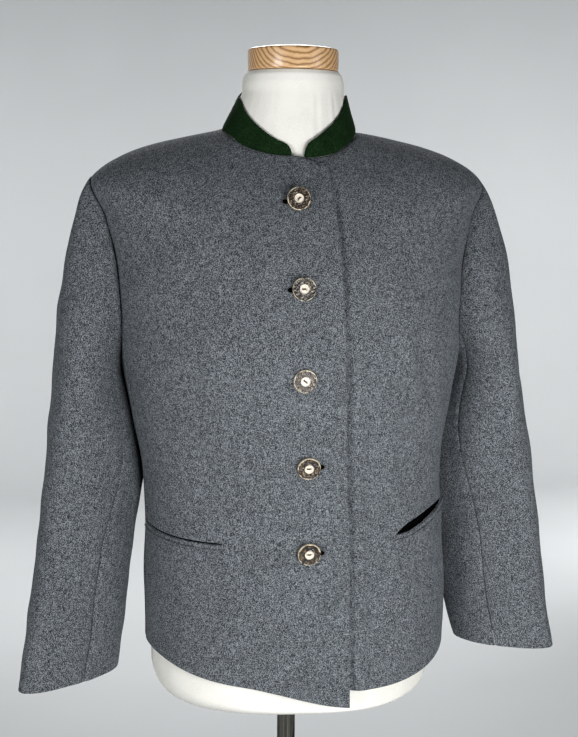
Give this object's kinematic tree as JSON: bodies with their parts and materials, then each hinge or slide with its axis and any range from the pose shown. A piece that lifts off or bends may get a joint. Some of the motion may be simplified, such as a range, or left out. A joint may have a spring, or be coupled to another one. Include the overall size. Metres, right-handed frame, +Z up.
{
  "type": "tyrolean loden jacket on a limbless dress form",
  "caption": "Short grey loden jacket with a green stand collar, horn buttons and welt pockets, closed on a limbless dress form with a pole and round base.",
  "frame": {"origin": "middle of the base's underside, where the stand rests on the floor", "axes": "+Z up along the pole, -Y out of the jacket's front, +X towards the wearer's left"},
  "size_m": [0.6054, 0.32, 1.291],
  "materials": {
    "front_right": "napped wool",
    "front_left": "napped wool",
    "back": "napped wool",
    "side_right": "napped wool",
    "side_left": "napped wool",
    "sleeve_upper_right": "napped wool",
    "sleeve_upper_left": "napped wool",
    "sleeve_under_right": "napped wool",
    "sleeve_under_left": "napped wool",
    "collar": "felted wool",
    "pocket_welt_right": "napped wool",
    "pocket_welt_left": "napped wool",
    "button_1": "polished stag horn",
    "button_2": "polished stag horn",
    "button_3": "polished stag horn",
    "button_4": "polished stag horn",
    "button_5": "polished stag horn",
    "form_torso": "cotton jersey",
    "neck_cap": "clear varnish",
    "pole": "satin",
    "base": "satin"
  },
  "bodies": {
    "root": {"front_right": "front_right", "front_left": "front_left", "back": "back", "side_right": "side_right", "side_left": "side_left", "sleeve_upper_right": "sleeve_upper_right", "sleeve_upper_left": "sleeve_upper_left", "sleeve_under_right": "sleeve_under_right", "sleeve_under_left": "sleeve_under_left", "collar": "collar", "pocket_welt_right": "pocket_welt_right", "pocket_welt_left": "pocket_welt_left", "button_1": "button_1", "button_2": "button_2", "button_3": "button_3", "button_4": "button_4", "button_5": "button_5", "form_torso": "form_torso", "neck_cap": "neck_cap", "pole": "pole", "base": "base"}
  },
  "joints": []
}
